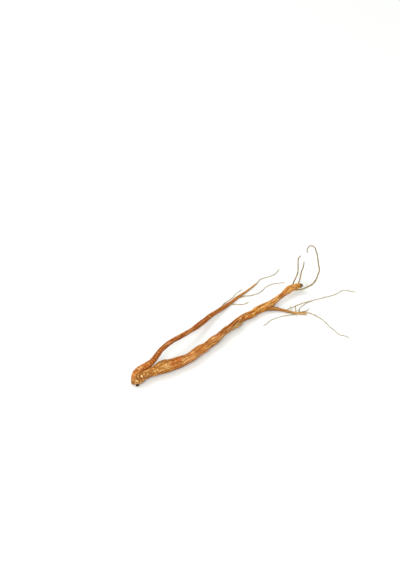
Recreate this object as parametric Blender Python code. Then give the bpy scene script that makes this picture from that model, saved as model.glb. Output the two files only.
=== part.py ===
"""One dried ginseng root lying on a table, grown as one piece.

A scarred crown carries the main root and an arched side root.  The main root forks near its tail
into a blunt tail strand and a short lateral, and fine rootlets leave the thin ends.
Units are metres, +Z is up.  The root lies along X, crown at -X and tail at +X, underside on z = 0.
"""

from collections import namedtuple
from math import cos, exp, pi, radians, sin

import bmesh
import bpy
from mathutils import Vector, noise

MM = 0.001

# Routes: x, y, z of the middle and the radius there, in millimetres, from the crown outwards.
MAIN_ROUTE = [
    (-103.0, 20.4, 4.0, 3.4), (-100.5, 20.6, 4.1, 3.8), (-96.6, 20.7, 4.2, 3.7), (-93.1, 20.5, 4.2, 3.6),
    (-89.8, 20.2, 4.3, 3.9), (-85.5, 19.3, 4.5, 4.5), (-81.2, 18.4, 4.7, 4.9), (-77.0, 17.2, 4.7, 5.0),
    (-72.9, 16.1, 4.4, 4.7), (-64.6, 13.9, 4.2, 4.5), (-54.8, 13.1, 4.4, 4.4), (-44.0, 13.4, 4.5, 4.0),
    (-32.3, 14.7, 4.5, 3.5), (-20.5, 16.0, 4.7, 3.0), (-7.7, 18.1, 4.8, 2.7), (5.4, 20.2, 4.2, 2.6),
    (16.3, 20.2, 3.2, 3.1), (27.3, 20.0, 3.0, 3.3), (38.2, 19.4, 3.1, 2.7), (46.0, 19.6, 3.5, 1.9),
    (52.0, 20.2, 4.1, 1.7), (58.0, 20.9, 4.7, 1.9), (64.0, 21.2, 5.2, 2.3), (68.5, 19.8, 5.5, 2.2),
    (72.0, 18.1, 5.6, 1.7),
]
SIDE_ROUTE = [
    (-103.8, 20.8, 5.0, 2.4), (-102.8, 22.8, 5.8, 2.9), (-99.6, 25.1, 6.3, 3.2), (-95.2, 26.0, 6.6, 2.9),
    (-89.6, 25.6, 7.2, 2.6), (-83.8, 25.1, 8.8, 2.45), (-76.9, 26.4, 11.0, 2.3), (-70.5, 28.6, 12.0, 1.9),
    (-60.5, 30.7, 11.5, 1.75), (-48.9, 32.2, 10.0, 1.75), (-37.1, 33.6, 8.0, 1.85), (-28.2, 35.3, 6.5, 2.0),
    (-19.0, 37.8, 5.2, 2.0), (-8.0, 40.4, 3.8, 1.8), (4.0, 42.2, 2.4, 1.6), (16.0, 43.8, 1.3, 1.35),
    (28.0, 45.5, 1.0, 1.05), (40.0, 46.8, 0.9, 0.8), (50.0, 48.6, 0.8, 0.6),
]
CROWN_ROUTE = [
    (-105.0, 19.4, 3.9, 3.5), (-103.4, 20.6, 4.1, 4.3), (-101.2, 22.2, 4.4, 4.5), (-98.6, 23.4, 4.6, 4.0),
    (-95.6, 24.0, 4.6, 2.8),
]
LATERAL_ROUTE = [
    (26.0, 19.5, 3.0, 1.5), (33.5, 16.6, 2.9, 1.8), (38.6, 12.6, 2.2, 1.5), (43.2, 6.6, 1.5, 1.1),
    (48.0, -0.6, 1.1, 0.95), (54.3, -7.6, 1.0, 0.8),
]

# Fine rootlets: each starts inside the stem that bears it.
ROOTLET_ROUTES = {
    "lateral_long_upper": [
        (42.2, 8.2, 1.8, 0.39), (45.7, 6.9, 1.1, 0.36), (52.0, 6.2, 0.7, 0.33), (59.3, 5.4, 0.5, 0.31),
        (68.3, 2.6, 0.5, 0.29), (76.8, -0.6, 0.5, 0.29), (85.4, -3.8, 0.5, 0.28), (92.2, -5.3, 0.5, 0.28),
        (98.2, -5.4, 0.5, 0.28), (101.3, -8.1, 0.5, 0.26), (105.3, -14.2, 0.5, 0.26),
    ],
    "lateral_long_lower": [
        (52.0, -4.8, 1.0, 0.39), (54.8, -5.2, 1.0, 0.36), (57.9, -10.3, 0.6, 0.33), (59.4, -18.1, 0.5, 0.31),
        (59.0, -24.3, 0.5, 0.29), (57.7, -31.3, 0.5, 0.29), (57.3, -37.4, 0.5, 0.28), (56.9, -43.5, 0.5, 0.28),
        (59.7, -47.5, 0.5, 0.26), (59.4, -51.2, 0.5, 0.26),
    ],
    "lateral_near_side": [
        (48.6, -1.4, 1.1, 0.36), (46.0, -1.2, 0.8, 0.34), (41.0, 1.9, 0.6, 0.31), (37.5, 4.2, 0.5, 0.29),
        (32.7, 5.1, 0.5, 0.29), (27.3, 6.6, 0.5, 0.28), (21.8, 5.6, 0.5, 0.28), (17.3, 5.5, 0.5, 0.26),
    ],
    "lateral_hook": [
        (50.4, -2.9, 1.1, 0.36), (54.7, -3.4, 0.7, 0.33), (58.0, -4.6, 0.6, 0.29), (61.4, -3.4, 0.6, 0.26),
    ],
    "lateral_fork": [
        (50.3, -2.6, 1.1, 0.36), (55.1, 1.6, 0.6, 0.31), (61.7, 2.5, 0.5, 0.29), (68.3, 2.4, 0.5, 0.28),
    ],
    "lateral_link": [
        (49.0, -1.6, 1.1, 0.34), (50.3, 1.4, 0.8, 0.31), (53.0, 4.4, 0.6, 0.29), (55.9, 6.6, 0.6, 0.26),
    ],
    "tail_curl": [
        (62.0, 20.4, 4.8, 0.43), (66.5, 17.2, 4.3, 0.41), (71.7, 14.9, 4.0, 0.40), (77.2, 14.2, 4.0, 0.38),
        (82.8, 14.0, 4.3, 0.36), (88.3, 15.8, 5.6, 0.36), (95.0, 19.4, 8.2, 0.34), (99.9, 25.6, 11.8, 0.34),
        (104.2, 32.0, 15.2, 0.33), (106.7, 37.2, 16.8, 0.31), (105.4, 41.2, 17.0, 0.31),
        (101.2, 40.6, 16.2, 0.29), (98.4, 37.4, 15.2, 0.26),
    ],
    "tail_tall": [
        (66.0, 21.4, 5.2, 0.40), (69.4, 24.0, 6.4, 0.38), (73.6, 25.8, 7.8, 0.36), (79.0, 28.8, 10.2, 0.34),
        (83.7, 33.6, 13.0, 0.33), (87.6, 37.2, 14.8, 0.31), (91.6, 38.0, 15.6, 0.26),
    ],
    "tail_short": [
        (69.0, 19.6, 5.4, 0.40), (71.8, 20.8, 5.4, 0.38), (76.8, 23.9, 6.5, 0.34), (81.9, 27.4, 8.8, 0.33),
        (87.3, 30.6, 10.6, 0.31), (91.0, 33.9, 12.0, 0.26),
    ],
    "side_end": [
        (45.0, 47.6, 0.85, 0.43), (50.0, 48.7, 0.7, 0.4), (56.5, 50.6, 0.55, 0.34), (63.5, 48.8, 0.5, 0.31),
        (71.0, 47.6, 0.5, 0.29), (78.0, 50.2, 0.5, 0.26),
    ],
    "side_inner": [
        (24.0, 44.8, 1.1, 0.43), (30.0, 43.2, 0.8, 0.38), (37.5, 39.6, 0.55, 0.33), (45.0, 38.2, 0.5, 0.31),
        (53.5, 40.2, 0.5, 0.29), (62.0, 38.4, 0.5, 0.28), (69.0, 33.8, 0.5, 0.26),
    ],
    "side_outer": [
        (2.0, 42.2, 2.4, 0.43), (6.0, 44.4, 1.4, 0.4), (13.0, 47.4, 0.6, 0.34), (21.5, 48.4, 0.5, 0.31),
        (29.5, 50.6, 0.5, 0.28), (36.0, 50.8, 0.5, 0.26),
    ],
    "side_short": [
        (13.5, 43.2, 1.5, 0.4), (18.0, 40.2, 0.8, 0.36), (23.0, 36.4, 0.5, 0.31), (29.5, 35.2, 0.5, 0.26),
    ],
}

# Bud scars and knobs on the crown: middle and radius in millimetres.
CROWN_KNOBS = [
    (-105.5, 21.9, 2.2, 1.5), (-103.6, 19.3, 2.0, 1.5), (-101.2, 19.2, 6.2, 1.4), (-102.6, 20.9, 7.3, 1.4),
    (-98.4, 18.5, 3.4, 1.4), (-105.4, 22.0, 5.4, 1.3), (-96.2, 18.9, 6.2, 1.3),
]

# Knots and bark flakes: run along the stem in mm, turn in degrees, height and length in mm, width in degrees.
MAIN_KNOTS = [
    (9.0, 62.0, 0.55, 2.2, 30.0), (14.0, 30.0, 0.5, 2.4, 28.0), (15.0, 84.0, 0.5, 2.4, 30.0),
    (20.0, 55.0, 0.4, 3.0, 26.0), (33.0, 40.0, 0.45, 6.0, 34.0), (102.0, 104.0, 1.3, 4.6, 40.0),
    (58.0, -30.0, 0.5, 3.4, 30.0), (76.0, 200.0, 0.6, 3.0, 34.0), (128.0, -60.0, 0.5, 3.4, 36.0),
]
SIDE_KNOTS = [
    (8.0, 20.0, 0.35, 1.1, 60.0), (11.5, 20.0, 0.3, 1.0, 60.0), (46.0, -40.0, 0.35, 2.4, 50.0),
    (92.0, 60.0, 0.4, 2.6, 50.0),
]

# Surface relief, as shares of the radius: long flutes with sharp valleys, and slow lumps.
FLUTE_DEPTH = 0.42
FLUTE_MIDDLE = 0.22
FLUTE_LENGTH = 24.0
FLUTES_AROUND = 2.1
LUMP_DEPTH = 0.22
LUMP_LENGTH = 9.0
LUMPS_AROUND = 0.8
TWIST = 0.009

# Small nodules crowd the stems near the crown: grain and height in mm.
NODULE_LENGTH = 2.6
NODULES_AROUND = 1.7
NODULE_HEIGHT = 0.75

# Ring wrinkles run across the stems near the crown: pitch and height in mm.
RING_PITCH = 2.7
RING_HEIGHT = 0.16

# The stem scar at the end of the crown is dished by this depth, in mm.
SCAR_DISH = 1.1

# The rounded end of a stem: distance inward as a share of its radius, share of the radius there.
END_PROFILE = [(0.0, 0.3), (0.0, 0.58), (0.12, 0.82), (0.34, 0.96)]

# How each stem is lofted: its route, its points in a ring, the step between rings in mm, the length
# with rings and nodules (in finer steps), its knots, the place of its bark in the noise and its dish.
Stem = namedtuple("Stem", "route sides step rings_end knots seed dish")
MAIN_ROOT = Stem(MAIN_ROUTE, 26, 2.2, 26.0, MAIN_KNOTS, 0.0, 0.0)
OTHER_STEMS = {
    "crown": Stem(CROWN_ROUTE, 20, 1.15, 20.0, [], 60.0, SCAR_DISH),
    "side_root": Stem(SIDE_ROUTE, 14, 2.6, 38.0, SIDE_KNOTS, 20.0, 0.0),
    "lateral": Stem(LATERAL_ROUTE, 9, 2.4, 0.0, [], 40.0, 0.0),
}
FINE_STEP = 1.15
ROOTLET_STEP = 3.0
KNOB_SIDES = 9
KNOB_RINGS = 6
SMALLEST_EDGE = 0.01
WELD_DISTANCE = 0.001

ROOT_COLOUR = (0.46, 0.20, 0.065, 1.0)
ROOT_ROUGHNESS = 0.62
SHARP_ANGLE = radians(50.0)


def curve_point(before, start, end, after, share):
    """A Catmull-Rom point between start and end, for places and radii alike."""
    linear = end - before
    square = 2.0 * before - 5.0 * start + 4.0 * end - after
    cube = 3.0 * start - before - 3.0 * end + after
    return start + 0.5 * share * (linear + share * (square + share * cube))


def smooth_route(route, samples=16):
    """Closely spaced points of the smooth curve through a route: run, place and radius in mm."""
    points = [Vector(point) for point in route]
    points = [2.0 * points[0] - points[1]] + points + [2.0 * points[-1] - points[-2]]
    dense = []
    for index in range(1, len(points) - 2):
        for sample in range(samples):
            dense.append(curve_point(*points[index - 1:index + 3], sample / samples))
    dense.append(points[-2])
    run = 0.0
    track = [(0.0, dense[0].xyz, dense[0].w)]
    for last, point in zip(dense, dense[1:]):
        run += (point.xyz - last.xyz).length
        track.append((run, point.xyz, point.w))
    return track


def at_run(track, run):
    """The place, direction and radius at a length along a smooth route."""
    index = 1
    while index < len(track) - 1 and track[index][0] < run:
        index += 1
    start_run, start, start_radius = track[index - 1]
    end_run, end, end_radius = track[index]
    share = (run - start_run) / (end_run - start_run)
    radius = start_radius + share * (end_radius - start_radius)
    return start.lerp(end, share), (end - start).normalized(), radius


def spaced(start, end, step):
    """Even lengths from start to end, about a step apart, without the end itself."""
    count = max(1, round((end - start) / step))
    return [start + (end - start) * index / count for index in range(count)]


def wrapped_noise(run, turn, length, around, seed):
    """Smooth noise on a stem: length is its grain along the run in mm, around its grain across."""
    return noise.noise(Vector((run / length, around * cos(turn) + seed, around * sin(turn))))


def knot_height(run, turn, knots):
    """The height in mm that knots and bark flakes add at a place on a stem."""
    height = 0.0
    for knot_run, knot_turn, knot_top, length, width in knots:
        across = (turn - radians(knot_turn) + pi) % (2.0 * pi) - pi
        spread = ((run - knot_run) / length) ** 2 + (across / radians(width)) ** 2
        height += knot_top * exp(-spread)
    return height


def relief(stem, run, turn, radius):
    """How far the bark stands out of the plain round stem, in mm."""
    twisted = turn + run * TWIST
    flutes = abs(wrapped_noise(run, twisted, FLUTE_LENGTH, FLUTES_AROUND, stem.seed)) - FLUTE_MIDDLE
    lumps = wrapped_noise(run, turn, LUMP_LENGTH, LUMPS_AROUND, stem.seed + 7.0)
    height = radius * (FLUTE_DEPTH * flutes + LUMP_DEPTH * lumps) + knot_height(run, turn, stem.knots)
    if run < stem.rings_end:
        nodules = wrapped_noise(run, turn, NODULE_LENGTH, NODULES_AROUND, stem.seed + 3.0)
        rings = cos(2.0 * pi * (run / RING_PITCH + lumps))
        height += (1.0 - run / stem.rings_end) ** 0.5 * (RING_HEIGHT * rings + NODULE_HEIGHT * nodules)
    return height


def ring_stations(stem, total):
    """Where a stem's rings lie: length along it and share of the radius, rounded off at both ends."""
    first, last = stem.route[0][3], stem.route[-1][3]
    starts = [(inward * first, share) for inward, share in END_PROFILE]
    starts[0] = (stem.dish, starts[0][1])
    tips = [(total - inward * last, share) for inward, share in reversed(END_PROFILE)]
    lengths = spaced(0.0, stem.rings_end, FINE_STEP) + spaced(stem.rings_end, total, stem.step)
    return starts + [(length, 1.0) for length in lengths if starts[-1][0] < length < tips[0][0]] + tips


def loft(name, stem):
    """A closed stem: a ring of points at each station, with its relief, flat where it meets the table."""
    track = smooth_route(stem.route)
    mesh = bmesh.new()
    rings = []
    for run, share in ring_stations(stem, track[-1][0]):
        middle, along, radius = at_run(track, run)
        side = along.cross(Vector((0.0, 0.0, 1.0))).normalized()
        up = side.cross(along)
        ring = []
        for index in range(stem.sides):
            turn = 2.0 * pi * index / stem.sides
            out = share * (radius + relief(stem, run, turn, radius))
            point = middle + (up * cos(turn) + side * sin(turn)) * out
            point.z = max(point.z, 0.0)
            ring.append(mesh.verts.new(point * MM))
        rings.append(ring)
    for ring, following in zip(rings, rings[1:]):
        for index in range(stem.sides):
            after = (index + 1) % stem.sides
            mesh.faces.new((ring[index], ring[after], following[after], following[index]))
    mesh.faces.new(reversed(rings[0]))
    mesh.faces.new(rings[-1])
    bmesh.ops.recalc_face_normals(mesh, faces=mesh.faces)
    bmesh.ops.triangulate(mesh, faces=mesh.faces)
    data = bpy.data.meshes.new(name)
    mesh.to_mesh(data)
    mesh.free()
    return bpy.data.objects.new(name, data)


def rootlet(name, route):
    """A fine rootlet: a tapered tube along its smooth route, turned into a closed mesh."""
    track = smooth_route(route, samples=8)
    total = track[-1][0]
    lengths = spaced(0.0, total, ROOTLET_STEP) + [total]
    curve = bpy.data.curves.new(name, "CURVE")
    curve.dimensions = "3D"
    curve.bevel_depth = MM
    curve.bevel_resolution = 0
    curve.use_fill_caps = True
    spline = curve.splines.new("POLY")
    spline.points.add(len(lengths) - 1)
    for point, length in zip(spline.points, lengths):
        middle, _, radius = at_run(track, length)
        point.co = (*(middle * MM), 1.0)
        point.radius = radius
    holder = bpy.data.objects.new(name + "_route", curve)
    bpy.context.scene.collection.objects.link(holder)
    bpy.context.view_layer.update()
    evaluated = holder.evaluated_get(bpy.context.evaluated_depsgraph_get())
    data = bpy.data.meshes.new_from_object(evaluated)
    piece = bpy.data.objects.new(name, data)
    piece.matrix_world = holder.matrix_world.copy()
    bpy.data.objects.remove(holder)
    weld(data)
    return piece


def weld(data):
    """Joins a tube's loose caps to its wall."""
    mesh = bmesh.new()
    mesh.from_mesh(data)
    bmesh.ops.remove_doubles(mesh, verts=mesh.verts, dist=WELD_DISTANCE * MM)
    bmesh.ops.recalc_face_normals(mesh, faces=mesh.faces)
    mesh.to_mesh(data)
    mesh.free()


def crown_knob(name, x, y, z, radius):
    """A small rounded bud scar, sunk into the crown."""
    mesh = bmesh.new()
    bmesh.ops.create_uvsphere(mesh, u_segments=KNOB_SIDES, v_segments=KNOB_RINGS, radius=radius * MM)
    for vertex in mesh.verts:
        vertex.co += Vector((x, y, z)) * MM
        vertex.co.z = max(vertex.co.z, 0.0)
    data = bpy.data.meshes.new(name)
    mesh.to_mesh(data)
    mesh.free()
    return bpy.data.objects.new(name, data)


def bark_material():
    """Dry golden-brown bark."""
    material = bpy.data.materials.new("dried_root_bark")
    material.use_nodes = True
    shader = material.node_tree.nodes["Principled BSDF"]
    shader.inputs["Base Color"].default_value = ROOT_COLOUR
    shader.inputs["Roughness"].default_value = ROOT_ROUGHNESS
    shader.inputs["Metallic"].default_value = 0.0
    return material


def union(body, branches):
    """Joins the branches to the body in one closed solid, then removes them."""
    join = body.modifiers.new("grown_together", "BOOLEAN")
    join.operation = "UNION"
    join.operand_type = "COLLECTION"
    join.collection = branches
    join.solver = "EXACT"
    bpy.context.view_layer.update()
    evaluated = body.evaluated_get(bpy.context.evaluated_depsgraph_get())
    joined = bpy.data.meshes.new_from_object(evaluated)
    mesh = bmesh.new()
    mesh.from_mesh(joined)
    bmesh.ops.dissolve_degenerate(mesh, dist=SMALLEST_EDGE * MM, edges=mesh.edges)
    bmesh.ops.triangulate(mesh, faces=mesh.faces)
    mesh.to_mesh(joined)
    mesh.free()
    body.modifiers.clear()
    body.data = joined
    for branch in list(branches.objects):
        bpy.data.objects.remove(branch)
    bpy.data.collections.remove(branches)


def build_root():
    """The whole root in one solid."""
    object_parts = bpy.data.collections.new("ginseng_root")
    branches = bpy.data.collections.new("branches")
    for collection in (object_parts, branches):
        bpy.context.scene.collection.children.link(collection)
    body = loft("ginseng_root", MAIN_ROOT)
    object_parts.objects.link(body)
    for name, stem in OTHER_STEMS.items():
        branches.objects.link(loft(name, stem))
    for index, knob in enumerate(CROWN_KNOBS):
        branches.objects.link(crown_knob("knob_" + str(index), *knob))
    for name, route in ROOTLET_ROUTES.items():
        branches.objects.link(rootlet(name, route))
    union(body, branches)
    body.data.materials.clear()
    body.data.materials.append(bark_material())
    body.data.shade_smooth()
    body.data.set_sharp_from_angle(angle=SHARP_ANGLE)


for old in list(bpy.data.objects):
    bpy.data.objects.remove(old)
build_root()
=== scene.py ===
from collections import namedtuple
from math import cos, exp, pi, radians, sin
from random import Random

import bmesh
import bpy
import numpy as np
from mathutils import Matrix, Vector, noise


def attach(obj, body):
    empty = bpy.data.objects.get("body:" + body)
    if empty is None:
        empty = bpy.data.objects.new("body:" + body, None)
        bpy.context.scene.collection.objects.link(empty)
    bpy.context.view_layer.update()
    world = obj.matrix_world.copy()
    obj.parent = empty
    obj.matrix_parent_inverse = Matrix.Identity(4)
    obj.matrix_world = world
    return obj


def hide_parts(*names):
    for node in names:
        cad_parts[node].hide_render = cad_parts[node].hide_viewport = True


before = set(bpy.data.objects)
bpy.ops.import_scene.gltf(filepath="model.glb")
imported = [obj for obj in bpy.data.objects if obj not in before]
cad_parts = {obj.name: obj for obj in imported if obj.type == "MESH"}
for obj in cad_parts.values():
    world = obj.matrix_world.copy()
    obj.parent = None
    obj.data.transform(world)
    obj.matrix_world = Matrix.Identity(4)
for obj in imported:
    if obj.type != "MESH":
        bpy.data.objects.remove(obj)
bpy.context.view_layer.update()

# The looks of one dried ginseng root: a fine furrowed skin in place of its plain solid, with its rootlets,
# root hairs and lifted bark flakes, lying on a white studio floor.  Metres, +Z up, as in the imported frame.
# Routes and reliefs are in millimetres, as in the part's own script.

MM = 0.001

# Routes: x, y, z of the middle and the radius there, from the crown outwards.
MAIN_ROUTE = [
    (-103.0, 20.4, 4.0, 3.4), (-100.5, 20.6, 4.1, 3.8), (-96.6, 20.7, 4.2, 3.7), (-93.1, 20.5, 4.2, 3.6),
    (-89.8, 20.2, 4.3, 3.9), (-85.5, 19.3, 4.5, 4.5), (-81.2, 18.4, 4.7, 4.9), (-77.0, 17.2, 4.7, 5.0),
    (-72.9, 16.1, 4.4, 4.7), (-64.6, 13.9, 4.2, 4.5), (-54.8, 13.1, 4.4, 4.4), (-44.0, 13.4, 4.5, 4.0),
    (-32.3, 14.7, 4.5, 3.5), (-20.5, 16.0, 4.7, 3.0), (-7.7, 18.1, 4.8, 2.7), (5.4, 20.2, 4.2, 2.6),
    (16.3, 20.2, 3.2, 3.1), (27.3, 20.0, 3.0, 3.3), (38.2, 19.4, 3.1, 2.7), (46.0, 19.6, 3.5, 1.9),
    (52.0, 20.2, 4.1, 1.7), (58.0, 20.9, 4.7, 1.9), (64.0, 21.2, 5.2, 2.3), (68.5, 19.8, 5.5, 2.2),
    (72.0, 18.1, 5.6, 1.7),
]
SIDE_ROUTE = [
    (-103.8, 20.8, 5.0, 2.4), (-102.8, 22.8, 5.8, 2.9), (-99.6, 25.1, 6.3, 3.2), (-95.2, 26.0, 6.6, 2.9),
    (-89.6, 25.6, 7.2, 2.6), (-83.8, 25.1, 8.8, 2.45), (-76.9, 26.4, 11.0, 2.3), (-70.5, 28.6, 12.0, 1.9),
    (-60.5, 30.7, 11.5, 1.75), (-48.9, 32.2, 10.0, 1.75), (-37.1, 33.6, 8.0, 1.85), (-28.2, 35.3, 6.5, 2.0),
    (-19.0, 37.8, 5.2, 2.0), (-8.0, 40.4, 3.8, 1.8), (4.0, 42.2, 2.4, 1.6), (16.0, 43.8, 1.3, 1.35),
    (28.0, 45.5, 1.0, 1.05), (40.0, 46.8, 0.9, 0.8), (50.0, 48.6, 0.8, 0.6),
]
CROWN_ROUTE = [
    (-105.0, 19.4, 3.9, 3.5), (-103.4, 20.6, 4.1, 4.3), (-101.2, 22.2, 4.4, 4.5), (-98.6, 23.4, 4.6, 4.0),
    (-95.6, 24.0, 4.6, 2.8),
]
LATERAL_ROUTE = [
    (26.0, 19.5, 3.0, 1.5), (33.5, 16.6, 2.9, 1.8), (38.6, 12.6, 2.2, 1.5), (43.2, 6.6, 1.5, 1.1),
    (48.0, -0.6, 1.1, 0.95), (54.3, -7.6, 1.0, 0.8),
]
ROOTLET_ROUTES = {
    "lateral_long_upper": [
        (42.2, 8.2, 1.8, 0.39), (45.7, 6.9, 1.1, 0.36), (52.0, 6.2, 0.7, 0.33), (59.3, 5.4, 0.5, 0.31),
        (68.3, 2.6, 0.5, 0.29), (76.8, -0.6, 0.5, 0.29), (85.4, -3.8, 0.5, 0.28), (92.2, -5.3, 0.5, 0.28),
        (98.2, -5.4, 0.5, 0.28), (101.3, -8.1, 0.5, 0.26), (105.3, -14.2, 0.5, 0.26),
    ],
    "lateral_long_lower": [
        (52.0, -4.8, 1.0, 0.39), (54.8, -5.2, 1.0, 0.36), (57.9, -10.3, 0.6, 0.33),
        (59.4, -18.1, 0.5, 0.31), (59.0, -24.3, 0.5, 0.29), (57.7, -31.3, 0.5, 0.29),
        (57.3, -37.4, 0.5, 0.28), (56.9, -43.5, 0.5, 0.28), (59.7, -47.5, 0.5, 0.26),
        (59.4, -51.2, 0.5, 0.26),
    ],
    "lateral_near_side": [
        (48.6, -1.4, 1.1, 0.36), (46.0, -1.2, 0.8, 0.34), (41.0, 1.9, 0.6, 0.31), (37.5, 4.2, 0.5, 0.29),
        (32.7, 5.1, 0.5, 0.29), (27.3, 6.6, 0.5, 0.28), (21.8, 5.6, 0.5, 0.28), (17.3, 5.5, 0.5, 0.26),
    ],
    "lateral_hook": [
        (50.4, -2.9, 1.1, 0.36), (54.7, -3.4, 0.7, 0.33), (58.0, -4.6, 0.6, 0.29), (61.4, -3.4, 0.6, 0.26),
    ],
    "lateral_fork": [
        (50.3, -2.6, 1.1, 0.36), (55.1, 1.6, 0.6, 0.31), (61.7, 2.5, 0.5, 0.29), (68.3, 2.4, 0.5, 0.28),
    ],
    "lateral_link": [
        (49.0, -1.6, 1.1, 0.34), (50.3, 1.4, 0.8, 0.31), (53.0, 4.4, 0.6, 0.29), (55.9, 6.6, 0.6, 0.26),
    ],
    "tail_curl": [
        (62.0, 20.4, 4.8, 0.43), (66.5, 17.2, 4.3, 0.41), (71.7, 14.9, 4.0, 0.40), (77.2, 14.2, 4.0, 0.38),
        (82.8, 14.0, 4.3, 0.36), (88.3, 15.8, 5.6, 0.36), (95.0, 19.4, 8.2, 0.34), (99.9, 25.6, 11.8, 0.34),
        (104.2, 32.0, 15.2, 0.33), (106.7, 37.2, 16.8, 0.31), (105.4, 41.2, 17.0, 0.31),
        (101.2, 40.6, 16.2, 0.29), (98.4, 37.4, 15.2, 0.26),
    ],
    "tail_tall": [
        (66.0, 21.4, 5.2, 0.40), (69.4, 24.0, 6.4, 0.38), (73.6, 25.8, 7.8, 0.36), (79.0, 28.8, 10.2, 0.34),
        (83.7, 33.6, 13.0, 0.33), (87.6, 37.2, 14.8, 0.31), (91.6, 38.0, 15.6, 0.26),
    ],
    "tail_short": [
        (69.0, 19.6, 5.4, 0.40), (71.8, 20.8, 5.4, 0.38), (76.8, 23.9, 6.5, 0.34), (81.9, 27.4, 8.8, 0.33),
        (87.3, 30.6, 10.6, 0.31), (91.0, 33.9, 12.0, 0.26),
    ],
    "side_end": [
        (45.0, 47.6, 0.85, 0.43), (50.0, 48.7, 0.7, 0.4), (56.5, 50.6, 0.55, 0.34), (63.5, 48.8, 0.5, 0.31),
        (71.0, 47.6, 0.5, 0.29), (78.0, 50.2, 0.5, 0.26),
    ],
    "side_inner": [
        (24.0, 44.8, 1.1, 0.43), (30.0, 43.2, 0.8, 0.38), (37.5, 39.6, 0.55, 0.33), (45.0, 38.2, 0.5, 0.31),
        (53.5, 40.2, 0.5, 0.29), (62.0, 38.4, 0.5, 0.28), (69.0, 33.8, 0.5, 0.26),
    ],
    "side_outer": [
        (2.0, 42.2, 2.4, 0.43), (6.0, 44.4, 1.4, 0.4), (13.0, 47.4, 0.6, 0.34), (21.5, 48.4, 0.5, 0.31),
        (29.5, 50.6, 0.5, 0.28), (36.0, 50.8, 0.5, 0.26),
    ],
    "side_short": [
        (13.5, 43.2, 1.5, 0.4), (18.0, 40.2, 0.8, 0.36), (23.0, 36.4, 0.5, 0.31), (29.5, 35.2, 0.5, 0.26),
    ],
}
CROWN_KNOBS = [
    (-105.5, 21.9, 2.2, 1.5), (-103.6, 19.3, 2.0, 1.5), (-101.2, 19.2, 6.2, 1.4), (-102.6, 20.9, 7.3, 1.4),
    (-98.4, 18.5, 3.4, 1.4), (-105.4, 22.0, 5.4, 1.3), (-96.2, 18.9, 6.2, 1.3),
]

# Knots and bark flakes: run along the stem, turn in degrees, height, length, width in degrees.
MAIN_KNOTS = [
    (9.0, 62.0, 0.55, 2.2, 30.0), (14.0, 30.0, 0.5, 2.4, 28.0), (15.0, 84.0, 0.5, 2.4, 30.0),
    (20.0, 55.0, 0.4, 3.0, 26.0), (33.0, 40.0, 0.45, 6.0, 34.0), (102.0, 104.0, 1.3, 4.6, 40.0),
    (58.0, -30.0, 0.5, 3.4, 30.0), (76.0, 200.0, 0.6, 3.0, 34.0), (128.0, -60.0, 0.5, 3.4, 36.0),
]
SIDE_KNOTS = [
    (8.0, 20.0, 0.35, 1.1, 60.0), (11.5, 20.0, 0.3, 1.0, 60.0), (46.0, -40.0, 0.35, 2.4, 50.0),
    (92.0, 60.0, 0.4, 2.6, 50.0),
]

# Slight swellings and hollows of the fine skin alone, in the same terms, and its small lumps as x, y, z and
# radius: the stem scar's, one bead, the rotten spot and the blunt tail tip.
FINE_SWELLINGS = [
    (6.0, 130.0, -0.8, 5.0, 45.0), (26.0, 130.0, -0.7, 11.0, 45.0), (53.0, 128.0, -1.3, 8.0, 45.0),
    (67.0, 128.0, -0.7, 6.0, 45.0), (86.0, 128.0, -0.8, 10.0, 45.0), (113.0, 128.0, -0.6, 6.0, 45.0),
    (129.0, 128.0, -1.0, 8.0, 45.0), (165.0, 120.0, 0.9, 5.0, 60.0), (150.0, -25.0, 0.8, 7.0, 60.0),
    (165.0, -30.0, 0.9, 6.0, 60.0), (131.0, -45.0, -0.8, 8.0, 50.0),
]
FINE_KNOBS = [
    (-104.2, 18.6, 5.8, 1.4), (-104.7, 19.9, 3.3, 1.3), (-99.2, 18.7, 7.3, 1.2), (-104.1, 18.3, 1.6, 1.15),
    (71.2, 18.4, 5.6, 2.0), (72.1, 17.9, 5.7, 1.5), (72.7, 17.5, 5.7, 1.1),
]

# Relief of the plain solid, repeated so that the fine skin keeps its form.
FLUTE_DEPTH = 0.42
FLUTE_MIDDLE = 0.22
FLUTE_LENGTH = 24.0
FLUTES_AROUND = 2.1
LUMP_DEPTH = 0.22
LUMP_LENGTH = 9.0
LUMPS_AROUND = 0.8
TWIST = 0.009
NODULE_LENGTH = 2.6
NODULES_AROUND = 1.7
NODULE_HEIGHT = 0.75
RING_PITCH = 2.7
RING_HEIGHT = 0.16
SCAR_DISH = 1.1
END_PROFILE = [(0.0, 0.3), (0.0, 0.58), (0.12, 0.82), (0.34, 0.96)]

Stem = namedtuple("Stem", "route rings_end knots seed dish beads")
STEMS = [
    Stem(MAIN_ROUTE, 26.0, MAIN_KNOTS + FINE_SWELLINGS, 0.0, 0.0, 0.8),
    Stem(CROWN_ROUTE, 20.0, [], 60.0, SCAR_DISH, 0.6),
    Stem(SIDE_ROUTE, 38.0, SIDE_KNOTS, 20.0, 0.0, 0.3),
    Stem(LATERAL_ROUTE, 0.0, [], 40.0, 0.0, 0.0),
]
MAIN, CROWN, SIDE, LATERAL = range(4)

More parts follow.
